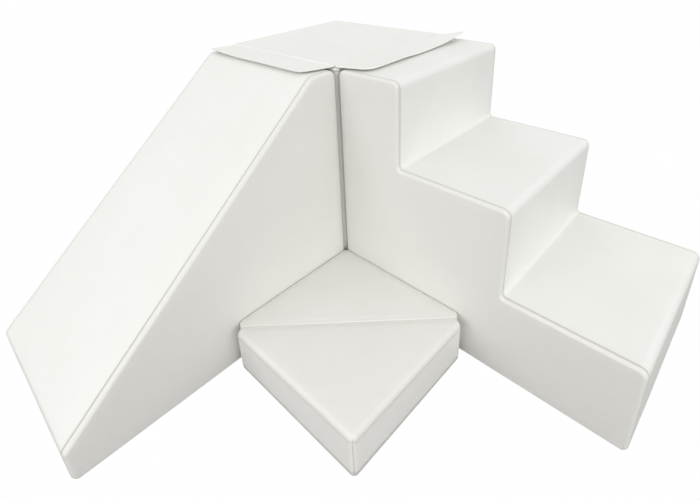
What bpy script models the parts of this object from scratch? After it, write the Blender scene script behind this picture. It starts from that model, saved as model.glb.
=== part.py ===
"""Soft play foam climber: a corner block with a slide, three stairs and a folding corner mat.

Every block is a foam core in a sewn leatherette cover. A cover is two cupped end panels that wrap
round the edges, a strip or band between them, and a base. The blocks stand against the corner
block, whose top sheet has two flaps that lie over the slide and the stairs with hook and loop.

Metres, +Z up. The origin is the middle of the set's footprint, on the floor.
"""

import math

import bmesh
import bpy

# Driving sizes of the set
STEP_RISE = 0.170
STEP_COUNT = 3
BLOCK_WIDTH = 0.355
BLOCK_GAP = 0.004
TOP_TREAD = 0.143
TREAD = 0.220
SLIDE_LENGTH = 0.601
SLIDE_FLAT = 0.060
NOSE_HEIGHT = 0.064
MAT_SIDE = 0.309
MAT_HEIGHT = 0.090
MAT_GAP = 0.0005
FOLD_GAP = 0.0006

# Cover and clearances
COVER = 0.0015
FIT = 0.0003
BASE_DROP = 0.0006
CUT_OVERRUN = 0.010

# Rounded edges
END_ROUND = 0.012
CORNER_END_ROUND = 0.008
FOLD_ROUND = 0.003
NOSING_ROUND = 0.018
NOSE_ROUND = 0.020
BREAK_ROUND = 0.030
BACK_ROUND = 0.012
CREASE_ROUND = 0.008
FLOOR_ROUND = 0.012
POST_ROUND = 0.012
MAT_POST_ROUND = 0.010
LEAST_ROUND = 0.0015

# Top sheet, flaps and hook and loop
SHEET = 0.003
SHEET_INSET = 0.006
SHEET_ROUND = 0.010
FLAP_WIDTH = 0.068
FLAP_NEAR_ROUND = 0.022
FLAP_FAR_ROUND = 0.006
FLAP_AXIS_LIFT = 0.00015
SLIDE_FLAP_NEAR = 0.008
SLIDE_FLAP_TAPER = 0.022
SLIDE_FLAP_BACK_GAP = 0.006
STAIRS_FLAP_NEAR = 0.002
STAIRS_FLAP_TAPER = 0.016
STAIRS_FLAP_BACK_GAP = 0.002
TAPE = 0.0012
TAPE_WIDTH = 0.038
TAPE_START = 0.016
TAPE_MARGIN = 0.040

# Zip set behind the face of a cover
ZIP_HEIGHT = 0.034
ZIP_SLOT = 0.011
ZIP_TAPE_WIDTH = 0.023
ZIP_TAPE_DEPTH = 0.0033
ZIP_TAPE = 0.0008
ZIP_COIL_WIDTH = 0.0050
ZIP_COIL = 0.0014
ZIP_END = 0.006
SLIDER_LENGTH = 0.014
SLIDER_WIDTH = 0.0088
SLIDER_NOSE = 0.0036
SLIDER_ROUND = 0.0010
SLIDER_PLATE = 0.0012
SLIDER_SINK = 0.0004
CORNER_ZIP_MARGIN = 0.030
SLIDE_ZIP_MARGIN = 0.0725
STAIRS_ZIP_MARGIN = 0.0675
MAT_ZIP_MARGIN = 0.0555

# Fabric hinge of the mat
FOLD_AXIS_LIFT = 0.0005
FOLD_STRIP_WIDTH = 0.0030
FOLD_STRIP = 0.0008
FOLD_STRIP_SINK = 0.0002
FOLD_STRIP_MARGIN = 0.020

# Facets of the rounded edges
ARC_STEP_ANGLE = math.radians(15)
END_STEPS = 4

# Worked out from the sizes above
HEIGHT = STEP_COUNT * STEP_RISE
STAIRS_LENGTH = TOP_TREAD + (STEP_COUNT - 1) * TREAD
SKIN = COVER + FIT
CORNER_HEIGHT = HEIGHT + TAPE + TAPE + FIT + FIT
FLAP_BOTTOM = CORNER_HEIGHT + FIT
FLAP_AXIS_HEIGHT = FLAP_BOTTOM + SHEET + FLAP_AXIS_LIFT
MAT_HALF_DIAGONAL = (math.sqrt(2) * MAT_SIDE - FOLD_GAP) / 2
ZIP_TAPE_BACK = ZIP_TAPE_DEPTH + ZIP_TAPE
ZIP_POCKET_DEPTH = ZIP_TAPE_BACK + FIT

# Off-white leatherette in the tones that the photograph shows, and the darker small parts
WHITE = (0.93, 0.92, 0.89, 1)
WARM_WHITE = (0.87, 0.85, 0.81, 1)
FOAM_CREAM = (0.90, 0.84, 0.66, 1)
TAPE_WHITE = (0.85, 0.85, 0.83, 1)
ZIP_GREY = (0.62, 0.62, 0.60, 1)


def clear_scene():
    for old in list(bpy.data.objects):
        bpy.data.objects.remove(old, do_unlink=True)


def finish_material(name, colour, roughness):
    material = bpy.data.materials.new(name)
    material.use_nodes = True
    shader = material.node_tree.nodes["Principled BSDF"]
    shader.inputs["Base Color"].default_value = colour
    shader.inputs["Roughness"].default_value = roughness
    shader.inputs["Metallic"].default_value = 0
    return material


def add_object(name, mesh, parent, colour, roughness, place=(0, 0, 0), turn=0):
    mesh.materials.append(finish_material(name + "_finish", colour, roughness))
    mesh.shade_smooth()
    mesh.set_sharp_from_angle(angle=math.radians(32))
    piece = bpy.data.objects.new(name, mesh)
    piece.location = place
    piece.rotation_euler.z = turn
    piece.parent = parent
    bpy.context.collection.objects.link(piece)
    return piece


def add_frame(name, place, turn=0, parent=None):
    empty = bpy.data.objects.new(name, None)
    empty.location = place
    empty.rotation_euler.z = turn
    empty.parent = parent
    bpy.context.collection.objects.link(empty)
    return empty


def closed_mesh(name, points, faces):
    shape = bmesh.new()
    verts = [shape.verts.new(point) for point in points]
    for face in faces:
        shape.faces.new([verts[i] for i in face])
    bmesh.ops.recalc_face_normals(shape, faces=shape.faces)
    mesh = bpy.data.meshes.new(name)
    shape.to_mesh(mesh)
    shape.free()
    return mesh


def outline(corners, insets):
    """Points round a closed outline of (u, v, radius) corners, each edge moved in by its inset.

    Edge i runs from corner i to the next. The count of points doesn't depend on the insets, so
    outlines of one block can be joined as the rings of a loft. An inward corner's radius grows
    with the inset and an outward one's shrinks.
    """
    count = len(corners)
    area = sum(
        corners[i - 1][0] * corners[i][1] - corners[i][0] * corners[i - 1][1] for i in range(count)
    )
    side = math.copysign(1, area)
    edges = []
    for i, (u, v, _) in enumerate(corners):
        next_u, next_v, _ = corners[(i + 1) % count]
        length = math.hypot(next_u - u, next_v - v)
        along = ((next_u - u) / length, (next_v - v) / length)
        inward = (-along[1] * side, along[0] * side)
        start = (u + inward[0] * insets[i], v + inward[1] * insets[i])
        edges.append((start, along))
    points = []
    for i, (_, _, radius) in enumerate(corners):
        (before, towards), (after, away) = edges[i - 1], edges[i]
        cross = towards[0] * away[1] - towards[1] * away[0]
        gap = (after[0] - before[0], after[1] - before[1])
        reach = (gap[0] * away[1] - gap[1] * away[0]) / cross
        tip = (before[0] + towards[0] * reach, before[1] + towards[1] * reach)
        bend = math.atan2(cross, towards[0] * away[0] + towards[1] * away[1])
        inset = (insets[i - 1] + insets[i]) / 2
        outward = math.copysign(1, bend) == side
        radius = max(radius - inset if outward else radius + inset, LEAST_ROUND)
        tangent = radius * math.tan(abs(bend) / 2)
        turn = math.copysign(1, bend)
        centre = (
            tip[0] - towards[0] * tangent - towards[1] * turn * radius,
            tip[1] - towards[1] * tangent + towards[0] * turn * radius,
        )
        first = math.atan2(-towards[0] * turn, towards[1] * turn)
        steps = math.ceil(abs(bend) / ARC_STEP_ANGLE)
        for step in range(steps + 1):
            angle = first + bend * step / steps
            points.append((centre[0] + radius * math.cos(angle), centre[1] + radius * math.sin(angle)))
    return points


def loft(name, rings, place, closed_tube=False):
    """A solid through rings of equal point counts; place turns (u, v, depth) into a point."""
    size = len(rings[0][0])
    points = []
    for ring, depth in rings:
        points += [place(u, v, depth) for u, v in ring]
    faces = []
    spans = len(rings) if closed_tube else len(rings) - 1
    for k in range(spans):
        low = k * size
        high = (k + 1) % len(rings) * size
        for i in range(size):
            j = (i + 1) % size
            faces.append((low + i, low + j, high + j, high + i))
    if not closed_tube:
        faces.append(tuple(range(size)))
        last = (len(rings) - 1) * size
        faces.append(tuple(range(last, last + size)))
    return closed_mesh(name, points, faces)


def across(u, v, depth):
    """Outline in the upright section plane, depth across the block."""
    return (u, depth, v)


def upwards(u, v, depth):
    """Outline in plan, depth upwards."""
    return (u, v, depth)


def rounded_rings(corners, rounds, wall, depth_round, far_depth):
    """Rings of one rounded end, from its flat face to where the rounding ends.

    wall is how far this surface lies inside the cover's own. far_depth mirrors the end to the
    other side of the block when it isn't None.
    """
    rings = []
    for step in range(END_STEPS + 1):
        angle = math.pi / 2 * step / END_STEPS
        insets = [edge - (edge - wall) * math.sin(angle) for edge in rounds]
        depth = depth_round - (depth_round - wall) * math.cos(angle)
        if far_depth is not None:
            depth = far_depth - depth
        rings.append((outline(corners, insets), depth))
    return rings


def cupped_panel(name, corners, rounds, place, far_depth=None):
    """An end panel that wraps round the edges of the block to its seam."""
    outer = rounded_rings(corners, rounds, 0, max(rounds), far_depth)
    inner = rounded_rings(corners, rounds, COVER, max(rounds), far_depth)
    return loft(name, outer + inner[::-1], place)


def core(name, corners, rounds, depth, place):
    """The foam inside: the cover's form, smaller by the cover and its clearance."""
    near = rounded_rings(corners, rounds, SKIN, max(rounds), None)
    far = rounded_rings(corners, rounds, SKIN, max(rounds), depth)
    return loft(name, near + far[::-1], place)


def band(name, corners, start, end, place):
    """A closed band round the block between its two end panels."""
    flat = [0] * len(corners)
    walls = [COVER] * len(corners)
    outer = outline(corners, flat)
    inner = outline(corners, walls)
    rings = [(outer, start), (outer, end), (inner, end), (inner, start)]
    return loft(name, rings, place, closed_tube=True)


def open_strip(name, corners, start, end, place):
    """A strip over every edge of the outline but its last, the one on the floor."""
    outer = outline(corners, [0] * len(corners))
    inner = outline(corners, [COVER] * len(corners))
    size = len(outer)
    points = []
    for depth in (start, end):
        points += [place(u, v, depth) for u, v in outer]
        points += [place(u, v, depth) for u, v in inner]
    far = size + size
    faces = []
    for i in range(size - 1):
        faces.append((i, i + 1, size + i + 1, size + i))
        faces.append((far + i, far + i + 1, far + size + i + 1, far + size + i))
        faces.append((i, i + 1, far + i + 1, far + i))
        faces.append((size + i, size + i + 1, far + size + i + 1, far + size + i))
    for i in (0, size - 1):
        faces.append((i, size + i, far + size + i, far + i))
    return closed_mesh(name, points, faces)


def box(name, low, high):
    points = [(x, y, z) for x in (low[0], high[0]) for y in (low[1], high[1]) for z in (low[2], high[2])]
    faces = [(0, 1, 3, 2), (4, 5, 7, 6), (0, 1, 5, 4), (2, 3, 7, 6), (0, 2, 6, 4), (1, 3, 7, 5)]
    return closed_mesh(name, points, faces)


def plate(name, corners, low, high):
    flat = outline(corners, [0] * len(corners))
    return loft(name, [(flat, low), (flat, high)], upwards)


def add_cutter(name, mesh, parent, place=(0, 0, 0), turn=0):
    cutter = bpy.data.objects.new(name, mesh)
    cutter.location = place
    cutter.rotation_euler.z = turn
    cutter.parent = parent
    cutter.hide_render = True
    cutter.display_type = "WIRE"
    bpy.context.collection.objects.link(cutter)
    return cutter


def cut(piece, cutter, operation="DIFFERENCE"):
    step = piece.modifiers.new(cutter.name, "BOOLEAN")
    step.operation = operation
    step.object = cutter
    step.solver = "EXACT"


def add_zip(prefix, frame, cover, foam, length, place, turn):
    """A coil zip along a face that looks along +Y before the turn, with its slider at one end.

    The cover gets the slot, the foam a shallow pocket for the tape. The coil and the slider stay
    behind the cover's face.
    """
    half = length / 2
    slot = box(
        prefix + "_zip_slot",
        (-half, -COVER - CUT_OVERRUN, -ZIP_SLOT / 2),
        (half, CUT_OVERRUN, ZIP_SLOT / 2),
    )
    cut(cover, add_cutter(prefix + "_zip_slot", slot, frame, place, turn))
    pocket = box(
        prefix + "_zip_pocket",
        (-half - ZIP_END - FIT, -ZIP_POCKET_DEPTH, -ZIP_TAPE_WIDTH / 2 - FIT),
        (half + ZIP_END + FIT, CUT_OVERRUN, ZIP_TAPE_WIDTH / 2 + FIT),
    )
    cut(foam, add_cutter(prefix + "_zip_pocket", pocket, frame, place, turn))

    # Half of the chain's section: the folded hem, the bare tape and the coil
    hem = ZIP_SLOT / 2
    edge = ZIP_TAPE_WIDTH / 2
    coil = ZIP_COIL_WIDTH / 2
    coil_top = ZIP_TAPE_DEPTH - ZIP_COIL
    half_section = [
        (edge, ZIP_TAPE_BACK),
        (edge, SKIN),
        (hem, SKIN),
        (hem, ZIP_TAPE_DEPTH),
        (coil, ZIP_TAPE_DEPTH),
        (coil, coil_top + ZIP_COIL / 2),
        (coil / 2, coil_top),
    ]
    section = half_section + [(-v, depth) for v, depth in half_section[::-1]]
    size = len(section)
    points = [(x, -depth, v) for x in (-half - ZIP_END, half + ZIP_END) for v, depth in section]
    faces = [tuple(range(size)), tuple(range(size, size + size))]
    faces += [(i, (i + 1) % size, size + (i + 1) % size, size + i) for i in range(size)]
    chain = closed_mesh(prefix + "_zip_chain", points, faces)
    add_object(prefix + "_zip_chain", chain, frame, TAPE_WHITE, 0.7, place, turn)

    # Slider: a pointed saddle over the coil, at the closed end of the zip
    reach = SLIDER_LENGTH / 2
    side = SLIDER_WIDTH / 2
    profile = [
        (-reach, -side, SLIDER_ROUND),
        (reach - SLIDER_NOSE, -side, SLIDER_ROUND),
        (reach, -side / 2, SLIDER_ROUND),
        (reach, side / 2, SLIDER_ROUND),
        (reach - SLIDER_NOSE, side, SLIDER_ROUND),
        (-reach, side, SLIDER_ROUND),
    ]
    flat = outline(profile, [0] * len(profile))
    rings = [(flat, -SLIDER_SINK), (flat, FIT - ZIP_TAPE_DEPTH)]
    body = loft(prefix + "_zip_slider", rings, across)
    start = -half + reach + FIT
    cos_turn = math.cos(turn)
    sin_turn = math.sin(turn)
    seat = (place[0] + start * cos_turn, place[1] + start * sin_turn, place[2])
    slider = add_object(prefix + "_zip_slider", body, frame, ZIP_GREY, 0.35, seat, turn)
    channel = box(
        prefix + "_zip_channel",
        (-SLIDER_LENGTH, FIT - ZIP_TAPE_DEPTH - CUT_OVERRUN, -coil - FIT),
        (SLIDER_LENGTH, -SLIDER_SINK - SLIDER_PLATE, coil + FIT),
    )
    cut(slider, add_cutter(prefix + "_zip_channel", channel, frame, seat, turn))


def add_tape(name, frame, start, level, roughness):
    """A strip of hook or loop tape along the hinge line, start away from it."""
    low = (start, TAPE_MARGIN, level)
    high = (start + TAPE_WIDTH, BLOCK_WIDTH - TAPE_MARGIN, level + TAPE)
    add_object(name, box(name, low, high), frame, TAPE_WHITE, roughness)


def add_side_covered_block(prefix, sides, frame, corners, length):
    """A block whose cover has two upright side panels, a running panel and a base panel."""
    rounds = [END_ROUND] * len(corners)
    near_name, far_name = (prefix + "_" + side + "_side_panel" for side in sides)
    near = cupped_panel(near_name, corners, rounds, across)
    far = cupped_panel(far_name, corners, rounds, across, BLOCK_WIDTH)
    start = END_ROUND + FIT
    end = BLOCK_WIDTH - END_ROUND - FIT
    strip = open_strip(prefix + "_running_panel", corners, start, end, across)
    floor_gap = FLOOR_ROUND + FIT
    base = box(
        prefix + "_base_panel",
        (floor_gap, start, 0),
        (length - floor_gap, end, BASE_DROP + COVER),
    )
    near_side = add_object(near_name, near, frame, WARM_WHITE, 0.45)
    far_side = add_object(far_name, far, frame, WARM_WHITE, 0.45)
    add_object(prefix + "_running_panel", strip, frame, WHITE, 0.42)
    add_object(prefix + "_base_panel", base, frame, WARM_WHITE, 0.6)
    return near_side, far_side, rounds


def slide_corners():
    low = BASE_DROP
    return [
        (0, low, FLOOR_ROUND),
        (0, HEIGHT, BACK_ROUND),
        (SLIDE_FLAT, HEIGHT, BREAK_ROUND),
        (SLIDE_LENGTH, NOSE_HEIGHT, NOSE_ROUND),
        (SLIDE_LENGTH, low, FLOOR_ROUND),
    ]


def stairs_corners():
    """Back wall, top tread, then a riser and a tread for each further step."""
    low = BASE_DROP
    corners = [(0, low, FLOOR_ROUND), (0, HEIGHT, BACK_ROUND), (TOP_TREAD, HEIGHT, NOSING_ROUND)]
    for step in range(1, STEP_COUNT):
        reach = TOP_TREAD + step * TREAD
        level = HEIGHT - step * STEP_RISE
        corners.append((reach - TREAD, level, CREASE_ROUND))
        corners.append((reach, level, NOSING_ROUND))
    corners.append((STAIRS_LENGTH, low, FLOOR_ROUND))
    return corners


def build_slide(frame):
    corners = slide_corners()
    outer, _, rounds = add_side_covered_block("slide", ("outer", "inner"), frame, corners, SLIDE_LENGTH)
    foam_mesh = core("slide_foam_core", corners, rounds, BLOCK_WIDTH, across)
    foam = add_object("slide_foam_core", foam_mesh, frame, FOAM_CREAM, 0.95)
    zip_length = SLIDE_LENGTH - 2 * SLIDE_ZIP_MARGIN
    add_zip("slide", frame, outer, foam, zip_length, (SLIDE_LENGTH / 2, 0, ZIP_HEIGHT), math.pi)


def build_stairs(frame):
    """The stairs' foam is three slabs glued one on another, a shorter one on each longer one."""
    corners = stairs_corners()
    _, back, rounds = add_side_covered_block("stairs", ("inner", "back"), frame, corners, STAIRS_LENGTH)
    slabs = []
    cuts = [level * STEP_RISE - SKIN for level in range(STEP_COUNT)]
    for number, cut_height in enumerate(cuts, start=1):
        name = "stairs_foam_slab_" + str(number)
        slab_mesh = core(name, corners, rounds, BLOCK_WIDTH, across)
        slab = add_object(name, slab_mesh, frame, FOAM_CREAM, 0.95)
        low = cut_height + FIT / 2 if slabs else -CUT_OVERRUN
        high = cut_height + STEP_RISE - FIT / 2
        if number == STEP_COUNT:
            high += CUT_OVERRUN
        keep = box(
            name + "_keep",
            (-CUT_OVERRUN, -CUT_OVERRUN, low),
            (STAIRS_LENGTH + CUT_OVERRUN, BLOCK_WIDTH + CUT_OVERRUN, high),
        )
        cut(slab, add_cutter(name + "_keep", keep, frame), "INTERSECT")
        slabs.append(slab)
    middle = (STAIRS_LENGTH / 2, BLOCK_WIDTH, ZIP_HEIGHT)
    add_zip("stairs", frame, back, slabs[0], STAIRS_LENGTH - 2 * STAIRS_ZIP_MARGIN, middle, 0)


def add_plan_covered_block(prefix, frame, corners, rounds, height):
    """A block whose cover is a top and a base panel that wrap down, and a band between them."""
    seam = max(rounds)
    foam_mesh = core(prefix + "_foam_core", corners, rounds, height, upwards)
    top = cupped_panel(prefix + "_top_panel", corners, rounds, upwards, height)
    base = cupped_panel(prefix + "_base_panel", corners, rounds, upwards)
    wall = band(prefix + "_side_band", corners, seam + FIT, height - seam - FIT, upwards)
    foam = add_object(prefix + "_foam_core", foam_mesh, frame, FOAM_CREAM, 0.95)
    add_object(prefix + "_top_panel", top, frame, WHITE, 0.42)
    add_object(prefix + "_base_panel", base, frame, WARM_WHITE, 0.6)
    wall_piece = add_object(prefix + "_side_band", wall, frame, WARM_WHITE, 0.45)
    return foam, wall_piece


def build_corner(frame):
    width = BLOCK_WIDTH
    corners = [
        (-width, 0, POST_ROUND),
        (0, 0, POST_ROUND),
        (0, width, POST_ROUND),
        (-width, width, POST_ROUND),
    ]
    rounds = [CORNER_END_ROUND] * len(corners)
    foam, wall = add_plan_covered_block("corner", frame, corners, rounds, CORNER_HEIGHT)
    middle = (-width / 2, width, ZIP_HEIGHT)
    add_zip("corner", frame, wall, foam, width - 2 * CORNER_ZIP_MARGIN, middle, 0)

    # The sheet stops short of the two back edges and reaches the two hinge lines
    hinge = FIT / 2
    back = width - SHEET_INSET
    sheet_corners = [
        (-back, hinge, FLAP_FAR_ROUND),
        (-hinge, hinge, FLAP_FAR_ROUND),
        (-hinge, back, SHEET_ROUND),
        (-back, back, SHEET_ROUND),
    ]
    sheet = plate("corner_top_sheet", sheet_corners, FLAP_BOTTOM, FLAP_BOTTOM + SHEET)
    add_object("corner_top_sheet", sheet, frame, WHITE, 0.4)


def add_flap(block, flap_frame, block_frame, corners):
    """A flap with its loop strip, above the hook strip on the block that it holds.

    The flap's frame stands on the hinge axis: +X points out over the block, +Y along the hinge.
    """
    flap = block + "_flap"
    mesh = plate(flap, corners, -FLAP_AXIS_LIFT - SHEET, -FLAP_AXIS_LIFT)
    add_object(flap, mesh, flap_frame, WHITE, 0.4)
    loop_level = -FLAP_AXIS_LIFT - SHEET - FIT - TAPE
    add_tape(block + "_loop_strip", flap_frame, BLOCK_GAP + TAPE_START, loop_level, 0.9)
    add_tape(block + "_hook_strip", block_frame, TAPE_START, HEIGHT + FIT, 0.85)


def build_flaps(slide_flap_frame, slide_frame, stairs_flap_frame, stairs_frame):
    hinge = FIT / 2
    near = BLOCK_WIDTH - SLIDE_FLAP_NEAR
    slide_flap = [
        (hinge, SLIDE_FLAP_BACK_GAP, FLAP_FAR_ROUND),
        (FLAP_WIDTH, SLIDE_FLAP_BACK_GAP, FLAP_FAR_ROUND),
        (FLAP_WIDTH, near - SLIDE_FLAP_TAPER, FLAP_NEAR_ROUND),
        (hinge, near, FLAP_FAR_ROUND),
    ]
    far = BLOCK_WIDTH - STAIRS_FLAP_BACK_GAP
    stairs_flap = [
        (hinge, STAIRS_FLAP_NEAR, FLAP_FAR_ROUND),
        (FLAP_WIDTH, STAIRS_FLAP_NEAR + STAIRS_FLAP_TAPER, FLAP_NEAR_ROUND),
        (FLAP_WIDTH, far, FLAP_FAR_ROUND),
        (hinge, far, FLAP_FAR_ROUND),
    ]
    add_flap("slide", slide_flap_frame, slide_frame, slide_flap)
    add_flap("stairs", stairs_flap_frame, stairs_frame, stairs_flap)


def build_mat_pad(prefix, frame):
    """A right-angled triangle of foam; its long side lies on the frame's X axis."""
    half = MAT_HALF_DIAGONAL
    corners = [(-half, 0, MAT_POST_ROUND), (half, 0, MAT_POST_ROUND), (0, half, MAT_POST_ROUND)]
    rounds = [FOLD_ROUND, END_ROUND, END_ROUND]
    foam, wall = add_plan_covered_block(prefix, frame, corners, rounds, MAT_HEIGHT)
    add_zip(prefix, frame, wall, foam, 2 * (half - MAT_ZIP_MARGIN), (0, 0, MAT_HEIGHT / 2), math.pi)


def build_mat_hinge(frame):
    """The fabric strip that joins the two pads, in the groove between their top edges."""
    reach = MAT_HALF_DIAGONAL - FOLD_STRIP_MARGIN
    top = MAT_HEIGHT - FOLD_STRIP_SINK
    side = FOLD_STRIP_WIDTH / 2
    middle = -FOLD_GAP / 2
    low = (-reach, middle - side, top - FOLD_STRIP)
    high = (reach, middle + side, top)
    add_object("mat_hinge_strip", box("mat_hinge_strip", low, high), frame, WHITE, 0.45)


def build_climber():
    clear_scene()
    centre_x = (BLOCK_GAP + STAIRS_LENGTH - BLOCK_WIDTH) / 2
    centre_y = (BLOCK_WIDTH - BLOCK_GAP - SLIDE_LENGTH) / 2
    quarter = math.pi / 2

    # Frames: the root stands where the inner corner of the corner block meets the floor
    root = add_frame("climber", (-centre_x, -centre_y, 0))
    slide = add_frame("slide_block", (-BLOCK_WIDTH, -BLOCK_GAP, 0), -quarter, root)
    stairs = add_frame("stairs_block", (BLOCK_GAP, 0, 0), 0, root)
    slide_flap = add_frame("slide_flap_hinge", (-BLOCK_WIDTH, 0, FLAP_AXIS_HEIGHT), -quarter, root)
    stairs_flap = add_frame("stairs_flap_hinge", (0, 0, FLAP_AXIS_HEIGHT), 0, root)
    middle = MAT_GAP + MAT_SIDE / 2
    mat = add_frame("mat", (middle, -middle, 0), quarter / 2, root)
    back_pad = add_frame("back_pad", (0, FOLD_GAP / 2, 0), 0, mat)
    fold_height = MAT_HEIGHT + FOLD_AXIS_LIFT
    fold = add_frame("mat_fold", (0, 0, fold_height), math.pi, mat)
    front_pad = add_frame("front_pad", (0, FOLD_GAP / 2, -fold_height), 0, fold)

    build_corner(root)
    build_slide(slide)
    build_stairs(stairs)
    build_flaps(slide_flap, slide, stairs_flap, stairs)
    build_mat_pad("back_pad", back_pad)
    build_mat_pad("front_pad", front_pad)
    build_mat_hinge(back_pad)


build_climber()
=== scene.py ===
import math

import bmesh
import bpy
import numpy as np
from mathutils import Matrix, Vector, noise
from mathutils.geometry import delaunay_2d_cdt


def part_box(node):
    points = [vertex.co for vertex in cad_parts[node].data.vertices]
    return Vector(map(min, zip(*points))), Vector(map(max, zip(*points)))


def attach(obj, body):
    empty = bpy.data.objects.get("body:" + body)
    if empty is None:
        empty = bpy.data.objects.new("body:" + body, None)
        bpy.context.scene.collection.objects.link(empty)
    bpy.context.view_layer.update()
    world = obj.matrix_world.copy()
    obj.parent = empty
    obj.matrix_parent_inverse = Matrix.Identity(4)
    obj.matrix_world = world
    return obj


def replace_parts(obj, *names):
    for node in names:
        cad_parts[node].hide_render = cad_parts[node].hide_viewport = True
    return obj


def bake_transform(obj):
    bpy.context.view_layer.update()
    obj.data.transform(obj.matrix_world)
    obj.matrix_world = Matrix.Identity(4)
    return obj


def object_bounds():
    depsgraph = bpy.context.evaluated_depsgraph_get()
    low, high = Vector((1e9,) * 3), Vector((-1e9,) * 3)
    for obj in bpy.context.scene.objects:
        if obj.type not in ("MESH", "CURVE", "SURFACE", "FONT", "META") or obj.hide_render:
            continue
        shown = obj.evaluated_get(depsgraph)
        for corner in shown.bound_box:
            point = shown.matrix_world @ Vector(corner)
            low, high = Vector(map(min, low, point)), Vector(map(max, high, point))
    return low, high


# Soft play climber in off-white leatherette: corner block, slide, stairs and folding mat
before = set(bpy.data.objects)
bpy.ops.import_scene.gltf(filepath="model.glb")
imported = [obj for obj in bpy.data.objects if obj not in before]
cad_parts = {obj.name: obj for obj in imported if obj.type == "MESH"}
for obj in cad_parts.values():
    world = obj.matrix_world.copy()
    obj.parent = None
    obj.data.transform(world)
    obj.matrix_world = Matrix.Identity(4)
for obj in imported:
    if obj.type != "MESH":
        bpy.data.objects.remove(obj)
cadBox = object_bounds()

right = Vector((1, 0, 0))
ahead = Vector((0, 1, 0))
up = Vector((0, 0, 1))


def boxOf(*nodes):
    # lowest and highest corner of several CAD nodes together
    boxes = [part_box(node) for node in nodes]
    low = Vector([min(box[0][axis] for box in boxes) for axis in range(3)])
    high = Vector([max(box[1][axis] for box in boxes) for axis in range(3)])
    return low, high


slideLow, slideHigh = boxOf("slide_outer_side_panel", "slide_inner_side_panel")
stairsLow, stairsHigh = boxOf("stairs_inner_side_panel", "stairs_back_side_panel")
cornerLow, cornerHigh = boxOf("corner_top_panel", "corner_base_panel")
matLow, matHigh = boxOf(
    "back_pad_top_panel", "back_pad_base_panel", "front_pad_top_panel", "front_pad_base_panel",
)
matMiddle = (matLow + matHigh) / 2
sheetLow, sheetHigh = boxOf("corner_top_sheet")

# How every cover is sewn: the end panel wraps round the edge, and both panels roll into the seam
cover = {
    "thickness": 0.0010,
    "backEdge": 0.004,
    "floorEdge": 0.0045,
    "lip": 0.0011,  # how far a panel rolls into its seam
    "slit": 0.00015,  # between the two panels there
    "leastRound": 0.0015,
    "arcStep": math.radians(9),
    "rimSteps": 7,
    "lipSteps": 3,
    "slabTurns": 6,
    "creaseRows": (0.0004, 0.0009, 0.0016, 0.0024),  # beside a corner's middle
    "seamRows": (0.0022, 0.0040, 0.0070, 0.0115),  # beside a seam
    "edgeStep": 0.009,
    "fillStep": 0.014,
    "bendStep": 0.0022,  # close enough for the tight bend of a folded flap
    "bendClear": 0.0015,
    "markClear": 0.4,  # share of a step that stays free beside a marked place
    "borderClear": 0.45,  # and beside a border
}
# The slot that a zip shows through, and the rows of points beside its folded hem
zipSlot = {
    "width": 0.011,
    "round": 0.0016,
    "rows": (0, 0.00015, 0.0005, cover["lip"], 0.0025),
    "clear": 0.003,
}

# Unevenness of leatherette over foam, lengths in metres
relief = {
    "swell": 0.00045,
    "swellSize": 0.10,
    "pucker": 0.00030,
    "puckerSize": 0.0065,
    "puckerReach": 0.009,
    "hem": 0.0014,
    "hemSize": 0.045,
    "hemReach": 0.030,
    "crownReach": 0.038,
    # painted shade along the seams: how far it reaches, its faint share high up, and the height below which
    # it is full
    "seamShadeReach": 0.0014,
    "seamShadeFaint": 0.65,
    "seamShadeStrongBelow": 0.30,
    "touching": 0.002,  # how near a pad's side stands to what it presses on
    "sideways": 0.5,  # lean from which a surface counts as a side
    "underside": 0.6,
    "roomRate": 0.05,
}


def clamped(value):
    return min(1, max(0, value))


def waveAt(place):
    # smooth unevenness between 0 and 1
    return 0.5 + 0.5 * noise.noise(place)


def swellAt(spot):
    return relief["swell"] * noise.noise(spot / relief["swellSize"])


def fade(distance):
    return 1 - math.exp(-distance / relief["crownReach"])


def roomFor(spot, outward):
    # the pads press on the blocks and on each other, flat or folded up, so nothing stands proud there
    touching, sideways = relief["touching"], relief["sideways"]
    besideSlide = abs(spot.x - matLow.x) < touching and abs(outward.x) > sideways
    besideStairs = abs(spot.y - matHigh.y) < touching and abs(outward.y) > sideways
    if besideSlide or besideStairs:
        return max(0, (spot.z - 2 * matHigh.z) * relief["roomRate"])
    insideMat = (matLow.x - touching < spot.x < matHigh.x + touching
                 and matLow.y - touching < spot.y < matHigh.y + touching and spot.z < matHigh.z)
    return 0 if insideMat and abs(outward.z) < sideways else 1


def makeAxes(origin, u, v, d, **more):
    return {"origin": origin, "u": u, "v": v, "d": d, **more}


def spotAt(axes, u, v, depth):
    return axes["origin"] + axes["u"] * u + axes["v"] * v + axes["d"] * depth


farOff = 1  # a gap so wide that nothing of a seam shows


def newShape():
    return {"points": [], "faces": [], "seam": []}


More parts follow.
